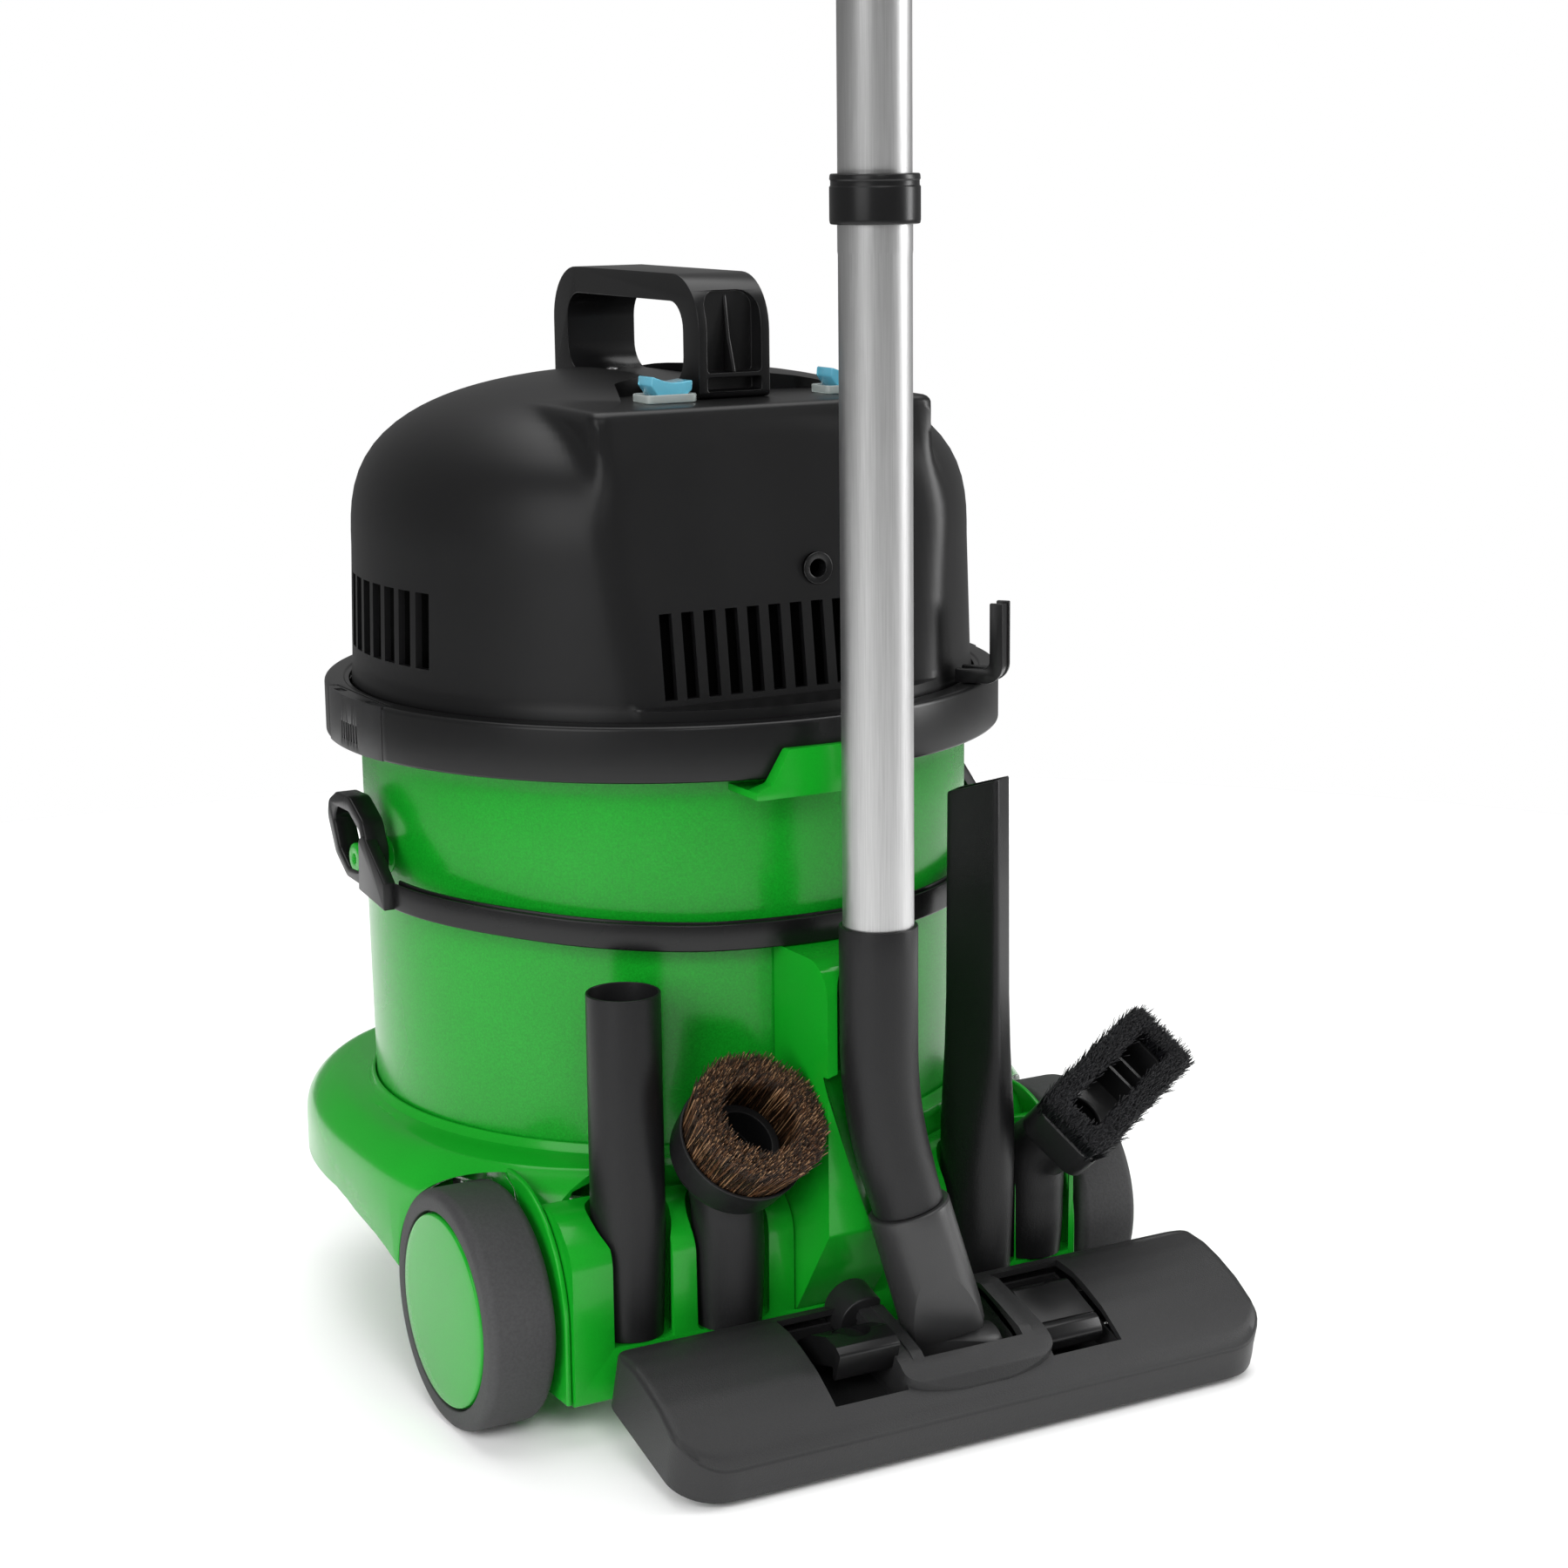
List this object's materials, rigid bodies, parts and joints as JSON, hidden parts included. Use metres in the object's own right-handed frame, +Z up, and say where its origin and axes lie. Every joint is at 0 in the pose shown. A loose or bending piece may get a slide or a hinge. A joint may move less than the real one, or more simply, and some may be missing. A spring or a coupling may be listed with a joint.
{
  "type": "drum vacuum cleaner",
  "caption": "Drum vacuum cleaner on a wheeled base, with a domed motor head, a wand and floor head parked upright behind it, and hand tools on the base.",
  "frame": {"origin": "middle of the footprint box, on the floor", "axes": "+Z up, the hose inlet faces -Y, the parked wand stands on the +Y side"},
  "size_m": [0.362, 0.4412, 0.96],
  "materials": {
    "gloss_green": "glossy, fine grain",
    "gloss_black": "glossy",
    "dark_plastic": "fine texture",
    "grey_rubber": "matt",
    "satin_tube": "satin",
    "switch_blue": "translucent",
    "brush_hair": "bristle",
    "filter_white": "cloth"
  },
  "bodies": {
    "base": {"chassis": "gloss_green", "tool_caddy": "gloss_green", "wand_dock": "gloss_green", "axle_pin_left": "satin_tube", "axle_pin_right": "satin_tube", "drum": "gloss_green", "pour_lip": "gloss_green", "bail_boss_left": "gloss_green", "bail_boss_right": "gloss_green", "hose_inlet": "gloss_black"},
    "rear_wheel_left": {"tyre_left": "grey_rubber", "wheel_hub_left": "dark_plastic", "hub_cap_left": "gloss_green"},
    "rear_wheel_right": {"tyre_right": "grey_rubber", "wheel_hub_right": "dark_plastic", "hub_cap_right": "gloss_green"},
    "castor_left": {"castor_fork_left": "gloss_black"},
    "castor_right": {"castor_fork_right": "gloss_black"},
    "castor_roll_left": {"castor_wheel_left": "dark_plastic"},
    "castor_roll_right": {"castor_wheel_right": "dark_plastic"},
    "bail": {"bail_strap": "gloss_black"},
    "head": {"clamp_ring": "gloss_black", "motor_cover": "gloss_black", "lid_seal": "grey_rubber", "separator_plate": "dark_plastic", "float_cage": "dark_plastic", "cloth_filter": "filter_white", "fan_housing": "satin_tube", "motor": "dark_plastic", "carry_handle": "gloss_black", "vacuum_switch_frame": "dark_plastic", "pump_switch_frame": "dark_plastic", "cord_hook": "gloss_black", "cord_gland": "dark_plastic"},
    "left_latch": {"latch_left": "dark_plastic"},
    "right_latch": {"latch_right": "dark_plastic"},
    "vacuum_rocker": {"vacuum_switch": "switch_blue"},
    "pump_rocker": {"pump_switch": "switch_blue"},
    "float": {"float_ball": "filter_white"},
    "fan": {"impeller": "satin_tube"},
    "wand": {"wand_elbow": "gloss_black", "neck": "gloss_black", "lower_tube": "satin_tube", "tube_collar": "gloss_black", "upper_tube": "satin_tube"},
    "floor_nozzle": {"floor_head": "dark_plastic", "tilt_pin": "satin_tube", "sole_plate": "satin_tube"},
    "left_pedal": {"pedal_left": "gloss_black"},
    "right_pedal": {"pedal_right": "gloss_black"},
    "front_strip": {"brush_strip_front": "brush_hair"},
    "back_strip": {"brush_strip_back": "brush_hair"},
    "left_roller": {"head_roller_left": "grey_rubber"},
    "right_roller": {"head_roller_right": "grey_rubber"},
    "adaptor": {"adaptor_tube": "dark_plastic"},
    "dusting": {"dusting_brush": "dark_plastic", "dusting_bristles": "brush_hair"},
    "crevice": {"crevice_tool": "dark_plastic"},
    "upholstery": {"upholstery_tool": "dark_plastic", "upholstery_bristles": "brush_hair"}
  },
  "joints": [
    {"name": "rear_wheel_left_spin", "type": "hinge", "parent": "base", "child": "rear_wheel_left", "pos_m": [0.1625, 0.0744, 0.0555], "axis": [1, 0, 0], "continuous": true},
    {"name": "castor_left_swivel", "type": "hinge", "parent": "base", "child": "castor_left", "pos_m": [0.0925, -0.1346, 0.045], "axis": [0, 0, 1], "continuous": true},
    {"name": "castor_wheel_left_spin", "type": "hinge", "parent": "castor_left", "child": "castor_roll_left", "pos_m": [0.0925, -0.1226, 0.0185], "axis": [1, 0, 0], "continuous": true},
    {"name": "rear_wheel_right_spin", "type": "hinge", "parent": "base", "child": "rear_wheel_right", "pos_m": [-0.1475, 0.0744, 0.0555], "axis": [1, 0, 0], "continuous": true},
    {"name": "castor_right_swivel", "type": "hinge", "parent": "base", "child": "castor_right", "pos_m": [-0.0775, -0.1346, 0.045], "axis": [0, 0, 1], "continuous": true},
    {"name": "castor_wheel_right_spin", "type": "hinge", "parent": "castor_right", "child": "castor_roll_right", "pos_m": [-0.0775, -0.1226, 0.0185], "axis": [1, 0, 0], "continuous": true},
    {"name": "bail_swing", "type": "hinge", "parent": "base", "child": "bail", "pos_m": [0.0075, -0.0346, 0.2435], "axis": [1, 0, 0], "range_deg": [0, 16]},
    {"name": "head_lift", "type": "slide", "parent": "base", "child": "head", "axis": [0, 0, 1], "range_m": [0, 0.25]},
    {"name": "left_latch_flip", "type": "hinge", "parent": "head", "child": "left_latch", "pos_m": [0.1673, -0.0346, 0.3195], "axis": [0, -1, 0], "range_deg": [0, 60]},
    {"name": "right_latch_flip", "type": "hinge", "parent": "head", "child": "right_latch", "pos_m": [-0.1523, -0.0346, 0.3195], "axis": [0, 1, 0], "range_deg": [0, 60]},
    {"name": "vacuum_switch_rock", "type": "hinge", "parent": "head", "child": "vacuum_rocker", "pos_m": [0.044, 0.0454, 0.462], "axis": [0, 1, 0], "range_deg": [0, 13]},
    {"name": "pump_switch_rock", "type": "hinge", "parent": "head", "child": "pump_rocker", "pos_m": [-0.0495, 0.0454, 0.462], "axis": [0, 1, 0], "range_deg": [0, 13]},
    {"name": "float_rise", "type": "slide", "parent": "head", "child": "float", "axis": [0, 0, 1], "range_m": [0, 0.018]},
    {"name": "fan_spin", "type": "hinge", "parent": "head", "child": "fan", "pos_m": [0.0075, -0.0346, 0.33], "axis": [0, 0, 1], "continuous": true},
    {"name": "wand_pull_out", "type": "slide", "parent": "base", "child": "wand", "axis": [0, 1, 0], "range_m": [0, 0.1]},
    {"name": "floor_head_tilt", "type": "hinge", "parent": "wand", "child": "floor_nozzle", "pos_m": [-0.0245, 0.1839, 0.03], "axis": [1, 0, 0], "range_deg": [-5, 20]},
    {"name": "left_pedal_press", "type": "hinge", "parent": "floor_nozzle", "child": "left_pedal", "pos_m": [0.0285, 0.16241, 0.03595], "axis": [-1, 0, 0], "range_deg": [0, 10]},
    {"name": "right_pedal_rise", "type": "hinge", "parent": "floor_nozzle", "child": "right_pedal", "pos_m": [-0.0775, 0.16241, 0.03595], "axis": [-1, 0, 0], "range_deg": [-10, 0]},
    {"name": "front_strip_drop", "type": "slide", "parent": "floor_nozzle", "child": "front_strip", "axis": [0, -0.2756, -0.9613], "range_m": [0, 0.004]},
    {"name": "back_strip_drop", "type": "slide", "parent": "floor_nozzle", "child": "back_strip", "axis": [0, -0.2756, -0.9613], "range_m": [0, 0.004]},
    {"name": "left_roller_spin", "type": "hinge", "parent": "floor_nozzle", "child": "left_roller", "pos_m": [0.0985, 0.15452, 0.03021], "axis": [1, 0, 0], "continuous": true},
    {"name": "right_roller_spin", "type": "hinge", "parent": "floor_nozzle", "child": "right_roller", "pos_m": [-0.1475, 0.15452, 0.03021], "axis": [1, 0, 0], "continuous": true},
    {"name": "adaptor_lift", "type": "slide", "parent": "base", "child": "adaptor", "axis": [0, 0, 1], "range_m": [0, 0.05]},
    {"name": "dusting_brush_lift", "type": "slide", "parent": "base", "child": "dusting", "axis": [0, 0, 1], "range_m": [0, 0.05]},
    {"name": "crevice_tool_lift", "type": "slide", "parent": "base", "child": "crevice", "axis": [0, 0, 1], "range_m": [0, 0.05]},
    {"name": "upholstery_tool_lift", "type": "slide", "parent": "base", "child": "upholstery", "axis": [0, 0, 1], "range_m": [0, 0.05]}
  ],
  "couplings": [
    {"joint": "left_pedal_press", "follows": "front_strip_drop", "rad_per_m": 43.63},
    {"joint": "right_pedal_rise", "follows": "front_strip_drop", "rad_per_m": -43.63},
    {"joint": "back_strip_drop", "follows": "front_strip_drop", "ratio": 1}
  ]
}
